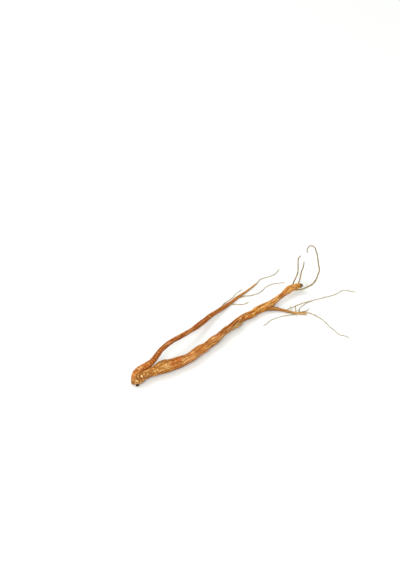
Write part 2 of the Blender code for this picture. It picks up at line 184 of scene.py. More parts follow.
# Marks on the bark of each stem: run along it in mm, turn in degrees, half length and half width in mm,
# strength.
# Pale marks: partly the bark's own pale scars and streaks, partly painted highlights on its crests and edges.
PALE_MARKS = {
    MAIN: [
        (4.0, 27.0, 0.9, 0.7, 1.0), (10.5, -3.0, 2.6, 0.6, 0.7), (16.5, 48.0, 1.1, 0.7, 0.8),
        (18.6, 52.0, 0.9, 0.7, 0.7), (21.0, -3.0, 2.0, 0.8, 0.5), (21.5, 62.0, 1.0, 0.6, 0.7),
        (24.5, 34.0, 3.2, 0.5, 0.8), (26.0, 66.0, 2.8, 0.5, 0.6), (26.5, 48.0, 3.4, 0.5, 0.8),
        (29.5, 12.0, 1.8, 0.8, 0.6), (40.6, 32.0, 0.7, 1.3, 0.7), (41.0, 64.0, 0.7, 0.8, 1.0),
        (42.2, 50.0, 0.7, 1.5, 0.8), (44.6, 38.0, 0.7, 1.6, 0.7), (47.0, 58.0, 8.0, 2.0, 0.3),
        (51.0, 8.0, 2.6, 0.9, 0.5), (64.5, 57.0, 2.4, 0.5, 0.9), (70.0, 66.0, 4.0, 0.6, 0.5),
        (75.0, 18.0, 4.0, 1.2, 0.5), (83.0, 57.0, 4.5, 0.9, 0.6), (90.0, 62.0, 12.0, 1.6, 0.25),
        (93.0, 34.0, 4.0, 0.6, 0.6), (102.5, 54.0, 2.6, 0.5, 0.7), (109.0, 24.0, 1.0, 0.6, 1.0),
        (115.0, 39.0, 1.4, 0.6, 0.9), (122.5, 51.0, 1.1, 0.7, 1.0), (133.5, 28.0, 5.0, 0.6, 0.7),
        (140.0, 46.0, 2.4, 0.8, 0.6), (148.0, 12.0, 5.0, 0.7, 0.6), (151.0, 40.0, 3.0, 1.0, 0.5),
        (162.0, 48.0, 5.0, 0.8, 0.6), (171.0, 40.0, 2.4, 0.7, 0.6),
    ],
    SIDE: [
        (3.0, 10.0, 2.2, 1.2, 0.2), (9.1, 17.0, 0.9, 1.4, 1.0), (12.1, 15.0, 0.9, 1.3, 1.0),
        (44.0, 30.0, 3.0, 0.6, 0.5), (68.0, 40.0, 3.0, 0.6, 0.3),
    ],
    LATERAL: [
        (40.0, 30.0, 9.0, 2.0, 0.2),
    ],
}
# Rust marks: deeper rust-red patches; the broad ones at turn 18 make the upper side deeper and darker than
# the front.
RUST_MARKS = {
    MAIN: [
        (14.0, 62.0, 1.6, 1.3, 0.6), (33.0, 38.0, 3.6, 2.4, 0.9), (37.5, 18.0, 3.2, 2.2, 0.9),
        (51.5, 20.0, 3.0, 1.5, 0.6), (57.5, 30.0, 4.6, 1.8, 0.7), (62.0, 8.0, 4.0, 1.4, 0.7),
        (76.0, 18.0, 5.0, 2.4, 0.6), (82.0, 10.0, 4.5, 1.3, 0.9), (84.0, 18.0, 12.0, 3.0, 1.0),
        (88.5, 2.0, 4.5, 1.5, 1.0), (98.0, 10.0, 5.0, 1.2, 0.7), (99.0, 18.0, 9.0, 3.0, 1.0),
        (106.0, 50.0, 6.0, 2.4, 0.5), (112.0, 40.0, 6.0, 2.6, 0.6), (112.0, 62.0, 5.0, 1.0, 0.7),
        (116.0, 58.0, 6.0, 2.0, 0.4), (117.0, 80.0, 4.0, 0.9, 0.7), (158.0, 18.0, 6.0, 2.6, 0.8),
        (162.5, 6.0, 1.4, 3.0, 0.7),
    ],
    SIDE: [
        (9.0, 54.0, 3.4, 1.0, 0.9), (17.0, 48.0, 6.0, 2.2, 0.7), (30.0, 70.0, 5.0, 1.4, 0.6),
        (36.0, 40.0, 6.0, 2.0, 0.7), (66.0, 40.0, 7.0, 1.8, 0.6),
    ],
    LATERAL: [
        (8.0, 40.0, 4.0, 1.2, 0.5), (17.0, 40.0, 6.0, 1.6, 0.7), (32.0, 30.0, 8.0, 1.4, 0.35),
    ],
}
# Dark marks: furrows with painted shade in them, partly the bark's own dark spots.
DARK_MARKS = {
    MAIN: [
        (2.0, 21.0, 0.8, 0.4, 0.9), (2.2, 62.0, 0.7, 0.5, 0.8), (4.6, 54.0, 0.5, 1.1, 0.8),
        (4.6, 104.0, 1.2, 0.5, 1.0), (7.0, 76.0, 0.5, 1.2, 0.6), (14.0, 70.0, 0.6, 0.5, 0.9),
        (23.0, 20.0, 1.8, 0.35, 0.6), (25.5, 56.0, 3.2, 0.3, 0.6), (37.5, -30.0, 2.5, 0.4, 0.9),
        (58.0, 62.0, 7.0, 0.3, 0.6), (69.0, -4.0, 2.8, 0.4, 1.0), (78.5, 98.0, 4.5, 0.5, 0.9),
        (83.0, -14.0, 3.0, 0.5, 1.0), (86.8, 6.0, 1.8, 0.4, 0.9), (90.5, 0.0, 2.0, 0.45, 1.0),
        (95.0, 14.0, 3.5, 0.3, 0.8), (96.5, 98.0, 1.8, 0.8, 1.0), (99.5, 42.0, 2.6, 0.4, 1.0),
        (101.5, 35.0, 5.5, 0.7, 1.0), (104.0, 29.0, 3.0, 0.4, 1.0), (108.5, 2.0, 5.0, 0.35, 0.7),
        (116.0, 60.0, 4.5, 0.35, 0.8), (121.5, 15.0, 1.4, 0.4, 0.9), (124.0, 32.0, 2.5, 0.3, 0.7),
        (128.5, 72.0, 3.2, 0.5, 1.0), (134.5, 0.0, 5.0, 0.45, 1.0), (136.0, 90.0, 3.0, 0.5, 0.8),
        (142.0, -24.0, 5.0, 0.5, 0.9), (145.0, 34.0, 3.5, 0.3, 0.7), (153.5, 56.0, 1.6, 0.5, 0.9),
        (160.0, 20.0, 4.0, 0.3, 0.7),
    ],
    SIDE: [
        (22.0, 96.0, 5.0, 0.5, 0.7), (52.0, 92.0, 6.0, 0.4, 0.6),
    ],
}

# Spots at the crown: x, y, z and size in mm.  Black rot, the scar's pale lumps with painted highlight on
# them, and dark gaps round them, which are painted shade.
ROT_SPOTS = [(-104.5, 17.6, 1.9, 1.6)]
PALE_SPOTS = [
    (-105.4, 18.4, 6.7, 1.0), (-104.4, 17.3, 6.2, 1.4), (-105.7, 19.3, 4.0, 1.1), (-105.2, 18.7, 3.0, 1.1),
    (-102.3, 17.3, 3.4, 0.9), (-104.0, 17.8, 3.0, 0.7), (-99.5, 18.3, 8.3, 1.2), (-101.9, 20.1, 8.4, 0.7),
    (-99.6, 16.9, 5.7, 0.6), (-97.8, 16.5, 5.2, 0.6), (-97.4, 17.6, 6.9, 0.6),
]
DARK_SPOTS = [
    (-105.6, 18.7, 5.4, 0.6), (-103.2, 17.9, 6.8, 1.0), (-104.4, 19.4, 7.5, 0.9), (-106.7, 20.5, 2.9, 2.6),
    (-105.4, 18.5, 1.7, 0.9), (-103.5, 20.3, 8.1, 0.6), (-100.6, 19.6, 8.1, 0.8), (-100.6, 17.8, 7.1, 0.9),
    (-102.9, 18.9, 7.8, 0.6), (-99.2, 17.4, 7.6, 0.6), (-97.6, 16.8, 6.2, 0.8), (-98.9, 16.6, 5.7, 0.7),
    (-98.6, 17.3, 3.4, 0.9), (-100.5, 17.2, 5.8, 0.5), (-101.8, 21.4, 8.6, 0.7), (-94.4, 17.0, 6.6, 0.7),
]

# Loose slivers of bark: stem, run, turn in degrees, length, width and how far the loose end lifts in mm.
BARK_SLIVERS = [
    (MAIN, 101.5, 78.0, 14.0, 2.8, 0.9), (MAIN, 31.0, 6.0, 3.2, 1.3, 0.4),
    (MAIN, 53.0, -22.0, 4.4, 1.1, 0.45), (MAIN, 66.0, 78.0, 4.0, 1.0, 0.4),
    (MAIN, 87.0, -30.0, 5.0, 1.2, 0.5), (MAIN, 125.0, 112.0, 5.0, 1.0, 0.4),
    (MAIN, 146.0, -8.0, 4.0, 0.9, 0.35), (SIDE, 57.0, 12.0, 4.0, 0.9, 0.35),
    (SIDE, 96.0, 30.0, 4.0, 0.8, 0.35),
]

# Steps in mm at which a stem is read to shape it, and to find where a point lies on it.
FINE_STEP = 0.1
COARSE_STEP = 0.5

# The fine skin: grid of the lofts, size of the remeshed faces and the softening of the joins.
LOFT_GRID = 0.42
SKIN_VOXEL = 0.3
SKIN_SMOOTHING = 2

# How often the skin's points are averaged with their neighbours to find its fine creases and crests and its
# broad hollows, for their painted shade and highlights, and its stored values to soften them where two stems
# meet.
CREASE_SMOOTHING = 14
HOLLOW_SMOOTHING = 90
VALUE_SMOOTHING = 5

# Fine wrinkles of the bark: grain along and across the stem in mm, depth in mm and how narrow they are; how
# much of the depth lies above the skin, and how far they wander sideways.  Then pits, beads, rings, pores and
# dark furrows.
WRINKLES = [(14.0, 2.0, 0.36, 0.10), (6.0, 1.0, 0.20, 0.13)]
WRINKLE_LEVEL = 0.35
BEND = 0.35
BEND_LENGTH = 13.0
PIT_GRAIN = 0.8
PIT_HEIGHT = 0.05
CELL_LENGTH = 1.5
CELL_WIDTH = 2.0
CELL_HEIGHT = 0.45
FINE_RING_PITCH = 1.05
FINE_RING_HEIGHT = 0.07
LENTICELS = 190
LENTICELS_ON_MAIN = 0.6
LENTICEL_START = 12.0
LENTICEL_ENDS = {MAIN: 172.0, SIDE: 140.0}
LENTICEL_HEIGHT = 0.14
LENTICEL_LENGTH = 0.38
LENTICEL_WIDTH = 0.75
FURROW_DEPTH = 0.3

# The flutes are shallow near the crown and reach their full depth further along, runs in mm.
SHALLOW_FLUTES = 0.45
FLUTES_START = 35.0
FLUTES_FULL = 90.0

# The crown is beaded on the main root's side only: y in mm where its beads fade out.
SMOOTH_SIDE = (20.2, 22.6)

# Where the lateral grows out of the main root, the main root's run there, and how far around that the joint
# is smoothed.
LATERAL_JOINT = Vector((30.0, 18.0, 3.2))
LATERAL_START = 131.0
JOINT_REACH = (3.5, 7.0)
JOINT_SMOOTHING = 40

# Stem scar at the end of the crown, and the broken tail tip with the distances at which it is fully weathered
# and no longer so.
SCAR_MIDDLE = Vector((-105.0, 19.4, 3.9))
SCAR_FACING = Vector((-0.79, -0.6, 0.1))
SCAR_RADIUS = 2.9
TAIL_TIP = Vector((72.7, 17.5, 5.9))
WEATHERED_REACH = (1.6, 4.0)

# Where the crown's mottling fades in, as x in mm; how clear of the other stems the bark's fine forms start
# and are full; and how far apart the stems lie in the place that the grain of the colours follows.
MOTTLED_FROM = (-84.0, -98.0)
CLEAR_OF_STEMS = (0.1, 0.8)
STEMS_APART = 300.0

# How stout the rootlets on the tail and those on the floor are beside the plain solid's, and the thickness
# and grid of a bark sliver in mm.
TAIL_STOUTNESS = 1.45
FLOOR_STOUTNESS = 1.0
SLIVER_THICKNESS = 0.2
SLIVER_GRID = 0.4
SLIVER_COLUMNS = 13

# Root hairs, in mm: length, radius where they start, how much thinner each point of the route is, and the
# lowest that one lies; and the number of points.
HAIR_LENGTHS = (2.0, 6.0)
HAIR_RADIUS = 0.11
HAIR_TAPER = 0.014
HAIR_FLOOR = 0.16
HAIR_POINTS = 5

# The chance of a hair at each mm of a rootlet, the lateral and the tail.
HAIRS_ON_ROOTLETS = 0.03
HAIRS_ON_LATERAL = 0.14
HAIRS_ON_TAIL = 0.08

# How far the rootlets sway off their routes, over what length and from which run on, in mm, and the noise
# layers that move them in x, y and z.
SWAY = 0.3
SWAY_LENGTH = 5.0
SWAY_FULL = 6.0
SWAY_LAYERS = (4.0, 14.0, 24.0)

# How unevenly thick the rootlets are, as a share and in mm, and how they flare where they leave the stem.
LUMPINESS = 0.16
LUMPINESS_LENGTH = 2.2
FLARE = 0.7
FLARE_LENGTH = 2.0

# Bark colours along the stems: share of the whole length, then red, green and blue.  The lateral carries on
# the main root's shares from where it leaves it.
MAIN_TONES = [
    (0.01, 154, 94, 42), (0.035, 174, 110, 52), (0.09, 168, 105, 35), (0.13, 155, 94, 24),
    (0.17, 149, 87, 20), (0.22, 150, 82, 21), (0.29, 184, 110, 47), (0.35, 192, 118, 50),
    (0.42, 138, 74, 14), (0.52, 122, 59, 6), (0.57, 154, 84, 12), (0.62, 175, 90, 6), (0.68, 182, 105, 19),
    (0.78, 225, 152, 62), (0.84, 232, 159, 76), (0.89, 193, 107, 6), (0.95, 228, 158, 70),
]
SIDE_TONES = [
    (0.01, 176, 106, 50), (0.035, 180, 96, 32), (0.09, 194, 111, 48), (0.15, 136, 53, 2),
    (0.19, 124, 46, 2), (0.24, 133, 53, 4), (0.6, 152, 67, 8), (0.95, 170, 104, 38),
]
LATERAL_TONES = [
    (0.74, 172, 103, 30), (0.77, 108, 58, 8), (0.79, 90, 50, 5), (0.835, 80, 46, 8), (0.88, 102, 70, 32),
    (0.92, 138, 126, 78),
]

# Colours laid over the bark in this order: the stored value that they follow, how strongly, and the colour.
# The beads' tops and the crests get painted highlights, the creases, hollows and underside painted shade; the
# pale marks are partly painted highlights.
BARK_LAYERS = [
    ("bead", 0.5, (246, 192, 110)), ("crest_highlight", 0.45, (240, 180, 98)), ("pale", 0.85, (255, 208, 138)),
    ("scar", 0.5, (232, 174, 96)), ("crease_shade", 0.65, (104, 50, 8)), ("hollow_shade", 0.8, (92, 38, 6)),
    ("underside_shade", 0.6, (112, 62, 18)), ("weathered", 0.9, (88, 68, 38)), ("rot", 1.0, (36, 22, 14)),
]

# Rootlet colours from the stem to the tip, as share, red, green and blue: golden on the tail, greyish on
# the floor.
GOLDEN_TONES = [
    (0.0, 190, 124, 48), (0.08, 142, 118, 60), (0.3, 132, 101, 36), (1.0, 124, 99, 38),
]
GREYISH_TONES = [
    (0.0, 190, 130, 58), (0.1, 162, 146, 102), (1.0, 166, 157, 124),
]

# The photograph's view, in degrees and metres, with the lens in mm.
VIEW_AZIMUTH = -41.0
VIEW_ELEVATION = 40.0
VIEW_DISTANCE = 1.14
VIEW_AIM = Vector((0.013, 0.079, 0.0))
LENS = 85.0

# White surroundings, and the soft lights: how far right of the frame's origin, beyond it and above it, seen
# from the camera, and the size, all in metres, then the power in watts.
WORLD_STRENGTH = 0.58
SOFT_LIGHTS = {
    "key": (-1.6, 1.2, 2.4, 1.8, 38.0),
    "fill": (-0.6, -1.9, 1.7, 1.5, 30.0),
    "crown_fill": (-0.15, -0.55, 0.5, 0.5, 1.6),
}
FLOOR_RADIUS = 5.0
FLOOR_GAP = 0.00003
FLOOR_TONE = (0.925, 0.945, 0.915, 1.0)

Track = namedtuple("Track", "run place along side up radius")


def smooth_between(low, high, values):
    """Rises smoothly from 0 at low to 1 at high."""
    share = np.clip((np.asarray(values) - low) / (high - low), 0.0, 1.0)
    return share * share * (3.0 - 2.0 * share)


def curve_point(before, start, end, after, share):
    """A point on the smooth curve between start and end, for places and radii alike."""
    linear = end - before
    square = 2.0 * before - 5.0 * start + 4.0 * end - after
    cube = 3.0 * start - before - 3.0 * end + after
    return start + 0.5 * share * (linear + share * (square + share * cube))


def read_route(route, step, samples=16):
    """The smooth curve through a route, at even steps: run, place, directions and radius in mm."""
    points = np.array(route)
    points = np.vstack([2.0 * points[0] - points[1], points, 2.0 * points[-1] - points[-2]])
    dense = [
        curve_point(*points[index - 1:index + 3], sample / samples)
        for index in range(1, len(points) - 2)
        for sample in range(samples)
    ]
    dense = np.array(dense + [points[-2]])
    run = np.concatenate([[0.0], np.cumsum(np.linalg.norm(np.diff(dense[:, :3], axis=0), axis=1))])
    even = np.linspace(0.0, run[-1], max(2, round(run[-1] / step) + 1))
    place = np.stack([np.interp(even, run, dense[:, axis]) for axis in range(3)], axis=1)
    along = np.gradient(place, axis=0)
    along /= np.linalg.norm(along, axis=1)[:, None]
    side = np.cross(along, (0.0, 0.0, 1.0))
    side /= np.linalg.norm(side, axis=1)[:, None]
    return Track(even, place, along, side, np.cross(side, along), np.interp(even, run, dense[:, 3]))


def wrapped_noise(run, turn, length, around, seed):
    """Smooth noise on a stem: length is its grain along the run in mm, around its grain across."""
    return noise.noise((run / length, around * cos(turn) + seed, around * sin(turn)))


def knot_height(run, turn, knots):
    """The height in mm that knots and bark flakes add at a place on a stem."""
    height = 0.0
    for knot_run, knot_turn, knot_top, length, width in knots:
        across = (turn - radians(knot_turn) + pi) % (2.0 * pi) - pi
        spread = ((run - knot_run) / length) ** 2 + (across / radians(width)) ** 2
        height += knot_top * exp(-spread)
    return height


def relief(stem, run, turn, radius):
    """How far the bark's larger forms stand out of the round stem, in mm."""
    twisted = turn + run * TWIST
    full = min(1.0, max(0.0, (run - FLUTES_START) / (FLUTES_FULL - FLUTES_START)))
    depth = FLUTE_DEPTH * (SHALLOW_FLUTES + (1.0 - SHALLOW_FLUTES) * full)
    flutes = abs(wrapped_noise(run, twisted, FLUTE_LENGTH, FLUTES_AROUND, stem.seed)) - FLUTE_MIDDLE
    lumps = wrapped_noise(run, turn, LUMP_LENGTH, LUMPS_AROUND, stem.seed + 7.0)
    height = radius * (depth * flutes + LUMP_DEPTH * lumps) + knot_height(run, turn, stem.knots)
    if run < stem.rings_end:
        nodules = stem.beads * wrapped_noise(run, turn, NODULE_LENGTH, NODULES_AROUND, stem.seed + 3.0)
        rings = cos(2.0 * pi * (run / RING_PITCH + lumps))
        height += (1.0 - run / stem.rings_end) ** 0.5 * (RING_HEIGHT * rings + NODULE_HEIGHT * nodules)
    return height


def ring_stations(stem, total):
    """Where a stem's rings lie: length along it and share of the radius, rounded off at both ends."""
    first, last = stem.route[0][3], stem.route[-1][3]
    starts = [(inward * first, share) for inward, share in END_PROFILE]
    starts[0] = (stem.dish, starts[0][1])
    tips = [(total - inward * last, share) for inward, share in reversed(END_PROFILE)]
    lengths = np.arange(0.0, total, LOFT_GRID)
    return starts + [(length, 1.0) for length in lengths if starts[-1][0] < length < tips[0][0]] + tips


def tube_faces(rings, sides):
    """Faces of a closed tube of rings, with a cap at each end."""
    faces = []
    for ring in range(rings - 1):
        for index in range(sides):
            after = (index + 1) % sides
            low, high = ring * sides, (ring + 1) * sides
            faces.append((low + after, low + index, high + index, high + after))
    faces.append(tuple(range(sides)))
    faces.append(tuple(range((rings - 1) * sides + sides - 1, (rings - 1) * sides - 1, -1)))
    return faces


def loft(stem):
    """Points and faces of one stem, finely spaced, in mm."""
    track = read_route(stem.route, FINE_STEP)
    sides = round(2.0 * pi * track.radius.max() / LOFT_GRID)
    stations = ring_stations(stem, track.run[-1])
    points = []
    for run, share in stations:
        index = min(len(track.run) - 1, round(run / track.run[1]))
        middle, side, up = track.place[index], track.side[index], track.up[index]
        for step in range(sides):
            turn = 2.0 * pi * step / sides
            out = share * (track.radius[index] + relief(stem, run, turn, track.radius[index]))
            points.append(middle + (up * cos(turn) + side * sin(turn)) * out)
    return np.array(points), tube_faces(len(stations), sides)


def placed(name, data):
    """A new object in the scene."""
    thing = bpy.data.objects.new(name, data)
    bpy.context.scene.collection.objects.link(thing)
    return thing


def mesh_object(name, points, faces):
    """A mesh object from points in mm."""
    data = bpy.data.meshes.new(name)
    data.from_pydata([tuple(point) for point in np.asarray(points) * MM], [], faces)
    data.update()
    return placed(name, data)


def joined(shapes):
    """Several lists of points and faces as one."""
    points, faces, count = [], [], 0
    for shape_points, shape_faces in shapes:
        points.append(shape_points)
        faces += [tuple(index + count for index in face) for face in shape_faces]
        count += len(shape_points)
    return np.vstack(points), faces


def knob_shape(x, y, z, radius):
    """Points and faces of a rounded bud scar."""
    mesh = bmesh.new()
    bmesh.ops.create_icosphere(mesh, subdivisions=3, radius=radius)
    points = np.array([vertex.co + Vector((x, y, z)) for vertex in mesh.verts])
    faces = [tuple(vertex.index for vertex in face.verts) for face in mesh.faces]
    mesh.free()
    return points, faces


def read_vectors(data, name):
    """One vector for each of a mesh's points."""
    flat = np.empty(len(data.vertices) * 3)
    data.vertices.foreach_get(name, flat)
    return flat.reshape(-1, 3)


def read_points(data):
    """A mesh's points in mm."""
    return read_vectors(data, "co") / MM


def write_points(data, points):
    """Sets a mesh's points, in mm, none of them below the table."""
    points[:, 2] = np.maximum(points[:, 2], 0.0)
    data.vertices.foreach_set("co", (points * MM).ravel())
    data.update()


def smoothed(data, rows, times, share=0.5):
    """Points, or rows of values kept for them, moved several times towards the mean of their neighbours."""
    ends = np.empty(len(data.edges) * 2, dtype=int)
    data.edges.foreach_get("vertices", ends)
    first, second = ends[::2], ends[1::2]
    count = len(rows)
    neighbours = np.bincount(first, minlength=count) + np.bincount(second, minlength=count)
    for _ in range(times):
        mean = np.stack([
            np.bincount(first, column[second], count) + np.bincount(second, column[first], count)
            for column in rows.T
        ], axis=1) / neighbours[:, None]
        rows = rows + share * (mean - rows)
    return rows


def find_stems(points):
    """For each point: its stem, the run, turn and radius there, and how clear it is of the other stems."""
    best = np.full(len(points), 1e9)
    clear = np.full(len(points), 1e9)
    found = np.zeros((len(points), 4))
    for number, stem in enumerate(STEMS):
        track = read_route(stem.route, COARSE_STEP)
        nearest = np.empty(len(points), dtype=int)
        for start in range(0, len(points), 4000):
            block = points[start:start + 4000]
            square = ((block[:, None, :] - track.place[None, :, :]) ** 2).sum(axis=2)
            nearest[start:start + 4000] = square.argmin(axis=1)
        offset = points - track.place[nearest]
        forward = (offset * track.along[nearest]).sum(axis=1)
        offset -= forward[:, None] * track.along[nearest]
        run = np.clip(track.run[nearest] + forward, 0.0, track.run[-1])
        sideways = (offset * track.side[nearest]).sum(axis=1)
        turn = np.arctan2(sideways, (offset * track.up[nearest]).sum(axis=1))
        beyond = np.abs(track.run[nearest] + forward - run)
        radius = track.radius[nearest]
        depth = np.hypot(np.linalg.norm(offset, axis=1), beyond) - radius
        wins = depth < best
        clear = np.where(wins, best - depth, np.minimum(clear, depth - best))
        best = np.where(wins, depth, best)
        found[wins] = np.stack([np.full(len(points), number), run, turn, radius], axis=1)[wins]
    return found[:, 0].astype(int), found[:, 1], found[:, 2], found[:, 3], clear


def scatter_lenticels():
    """Marks for the short pale pores that lie across the bark."""
    draw = Random(31)
    pores = {MAIN: [], SIDE: []}
    for _ in range(LENTICELS):
        number = MAIN if draw.random() < LENTICELS_ON_MAIN else SIDE
        run = draw.uniform(LENTICEL_START, LENTICEL_ENDS[number])
        turn, size = draw.uniform(-180.0, 180.0), draw.uniform(0.5, 1.0)
        pores[number].append((run, turn, LENTICEL_LENGTH * size, LENTICEL_WIDTH * size, size))
    return pores


def mark_field(marks, stems, runs, turns, radii):
    """How strongly each point lies on one of the marks, from 0 to 1."""
    field = np.zeros(len(runs))
    for number, rows in marks.items():
        for run, turn, length, width, strength in rows:
            near = np.nonzero((stems == number) & (np.abs(runs - run) < 2.5 * length))[0]
            across = (turns[near] - radians(turn) + pi) % (2.0 * pi) - pi
            spread = ((runs[near] - run) / length) ** 2 + (across * radii[near] / width) ** 2
            field[near] = np.maximum(field[near], strength * np.exp(-spread))
    return field


def spot_field(spots, points):
    """How strongly each point lies on one of the spots, from 0 to 1."""
    field = np.zeros(len(points))
    for *spot, size in spots:
        away = np.linalg.norm(points - spot, axis=1) / size
        field = np.maximum(field, 1.0 - smooth_between(0.5, 1.2, away))
    return field


def streakiness(stems, runs):
    """How far lengthwise streaks take over from blotches: little at the neck, fully further along."""
    return np.where(stems == MAIN, 0.4 + 0.6 * smooth_between(FLUTES_START, FLUTES_FULL, runs), 0.6)


def fine_relief(points, stems, runs, turns, radii):
    """Height in mm of wrinkles, rings, beads and pits at each point, and how much painted shade its creases
    get and painted highlight its beads' tops get.
    """
    heights, crease_shades, beads = np.empty(len(points)), np.empty(len(points)), np.zeros(len(points))
    streaks, smooth_side = streakiness(stems, runs), smooth_between(*SMOOTH_SIDE, points[:, 1])
    for index, (point, number, run, turn, radius) in enumerate(zip(points, stems, runs, turns, radii)):
        stem = STEMS[number]
        bend = BEND * wrapped_noise(run, turn, BEND_LENGTH, 1.0, stem.seed + 11.0)
        height, crease_shade = PIT_HEIGHT * noise.noise(point / PIT_GRAIN), 0.0
        # Each wrinkle's fold is a crease that gets painted shade.
        for length, across, depth, narrow in WRINKLES:
            around = max(1.0, radius / across)
            wave = wrapped_noise(run, turn + bend + run * TWIST, length, around, stem.seed + across)
            fold = streaks[index] * exp(-((wave / narrow) ** 2))
            height += depth * min(1.0, radius / 3.0) * (WRINKLE_LEVEL - fold)
            crease_shade = max(crease_shade, fold * depth / WRINKLES[0][2])
        near_crown = stem.beads * max(0.0, 1.0 - run / stem.rings_end) ** 0.5 if stem.rings_end else 0.0
        near_crown *= 1.0 - smooth_side[index] if number != SIDE else 1.0
        if near_crown:
            place = (run / CELL_LENGTH, radius * cos(turn) / CELL_WIDTH, radius * sin(turn) / CELL_WIDTH)
            nearest = noise.voronoi(place)[0]
            cell = min(1.0, 2.2 * (nearest[1] - nearest[0]))
            rings = cos(2.0 * pi * (run / FINE_RING_PITCH + 1.5 * bend))
            height += near_crown * CELL_HEIGHT * (cell - 0.6)
            height += min(1.0, 2.0 * near_crown) * FINE_RING_HEIGHT * rings
            # The gaps between the crown's beads get painted shade and their tops painted highlight.
            crease_shade = max(crease_shade * (1.0 - near_crown), near_crown * (1.0 - cell))
            beads[index] = near_crown * cell
        heights[index], crease_shades[index] = height, crease_shade
    return heights, crease_shades, beads


def keep_values(data, name, values):
    """Stores one number a point, for the material."""
    field = data.attributes.new(name, "FLOAT", "POINT")
    field.data.foreach_set("value", np.asarray(values, dtype=np.float32))


def keep_vectors(data, name, vectors):
    """Stores one vector a point, for the material."""
    field = data.attributes.new(name, "FLOAT_VECTOR", "POINT")
    field.data.foreach_set("vector", np.asarray(vectors, dtype=np.float32).ravel())


def grow_skin():
    """The whole root's fine skin: lofts and knobs melted together, then wrinkled."""
    shapes = [loft(stem) for stem in STEMS] + [knob_shape(*knob) for knob in CROWN_KNOBS + FINE_KNOBS]
    rough = mesh_object("rough_root", *joined(shapes))
    melt = rough.modifiers.new("melt", "REMESH")
    melt.mode = "VOXEL"
    melt.voxel_size = SKIN_VOXEL * MM
    bpy.context.view_layer.update()
    evaluated = rough.evaluated_get(bpy.context.evaluated_depsgraph_get())
    data = bpy.data.meshes.new_from_object(evaluated)
    bpy.data.objects.remove(rough)
    skin = placed("root_skin", data)
    points = smoothed(data, read_points(data), SKIN_SMOOTHING)
    at_joint = 1.0 - smooth_between(*JOINT_REACH, np.linalg.norm(points - LATERAL_JOINT, axis=1))
    points += at_joint[:, None] * (smoothed(data, points, JOINT_SMOOTHING) - points)
    write_points(data, points)
    *where, clear = find_stems(points)
    heights, crease_shades, beads = fine_relief(points, *where)
    pores = mark_field(scatter_lenticels(), *where)
    dark = mark_field(DARK_MARKS, *where)
    apart = smooth_between(*CLEAR_OF_STEMS, clear)
    heights = heights.mean() + (heights - heights.mean()) * apart
    heights += LENTICEL_HEIGHT * pores - FURROW_DEPTH * dark
    points = points + read_vectors(data, "normal") * heights[:, None]
    write_points(data, points)
    mark_skin(data, points, where, apart, crease_shades * apart, beads * apart, pores, dark)
    data.shade_smooth()
    return skin


def mark_skin(data, points, where, apart, crease_shades, beads, pores, dark):
    """Stores what the bark's colours follow: place on the stem, painted shade in hollows, creases and
    underside, painted highlights on crests and beads' tops, marks, scar and ends.
    """
    stems, runs, turns, radii = where
    normals = read_vectors(data, "normal")
    lengths = [read_route(stem.route, COARSE_STEP).run[-1] for stem in STEMS]
    lengths[CROWN] = lengths[LATERAL] = lengths[MAIN]
    reach = (runs + LATERAL_START * (stems == LATERAL)) / np.array(lengths)[stems]
    on_lateral = smoothed(data, 1.0 * (stems == LATERAL)[:, None], JOINT_SMOOTHING)[:, 0]
    place = np.stack([runs + STEMS_APART * stems, radii * np.cos(turns), radii * np.sin(turns)], axis=1)
    near = ((smoothed(data, points, CREASE_SMOOTHING) - points) * normals).sum(axis=1)
    wide = ((smoothed(data, points, HOLLOW_SMOOTHING) - points) * normals).sum(axis=1)
    facing = normals @ np.array(SCAR_FACING.normalized())
    scar = 1.0 - smooth_between(0.75, 1.1, np.linalg.norm(points - SCAR_MIDDLE, axis=1) / SCAR_RADIUS)
    beaded_side = 1.0 - smooth_between(*SMOOTH_SIDE, points[:, 1])
    mottled = smooth_between(*MOTTLED_FROM, points[:, 0]) * beaded_side * (stems != SIDE)
    tip = np.linalg.norm(points - TAIL_TIP, axis=1)
    melted = {
        "reach": reach,
        "on_side": 1.0 * (stems == SIDE),
        "streaks": streakiness(stems, runs),
        "crown": mottled,
        # Painted highlight on the tops of the crown's beads.
        "bead": smooth_between(0.3, 0.75, beads),
        "weathered": 1.0 - smooth_between(*WEATHERED_REACH, tip),
    }
    keep_vectors(data, "place", place)
    columns = smoothed(data, np.stack(list(melted.values()), axis=1), VALUE_SMOOTHING)
    for name, column in zip(melted, columns.T):
        keep_values(data, name, column)
    keep_values(data, "on_lateral", on_lateral)
    keep_values(data, "apart", apart)
    # Painted shade in the skin's hollows, from its fine creases and its broad hollows.
    hollow_shade = smooth_between(0.02, 0.16, near) * 0.6 + smooth_between(0.05, 0.5, wide) * 0.4
    keep_values(data, "hollow_shade", hollow_shade)
    # Painted highlight along the skin's crests.
    keep_values(data, "crest_highlight", smooth_between(0.02, 0.14, -near))
    # Painted shade in the wrinkles' creases, in the gaps between the crown's beads and along the dark marks
    # and spots, which are partly the bark's own dark spots.
    keep_values(data, "crease_shade", np.maximum.reduce([crease_shades, dark, spot_field(DARK_SPOTS, points)]))
    # Pale pores, pale marks and pale spots, partly painted highlights.
    pale = [0.8 * pores, mark_field(PALE_MARKS, *where), spot_field(PALE_SPOTS, points)]
    keep_values(data, "pale", np.maximum.reduce(pale))
    keep_values(data, "rust", mark_field(RUST_MARKS, *where))
    keep_values(data, "scar", scar * smooth_between(0.2, 0.6, facing))
    keep_values(data, "rot", spot_field(ROT_SPOTS, points))
    # Painted shade on the underside, darker where the skin faces down.
    keep_values(data, "underside_shade", smooth_between(0.25, -0.6, normals[:, 2]))


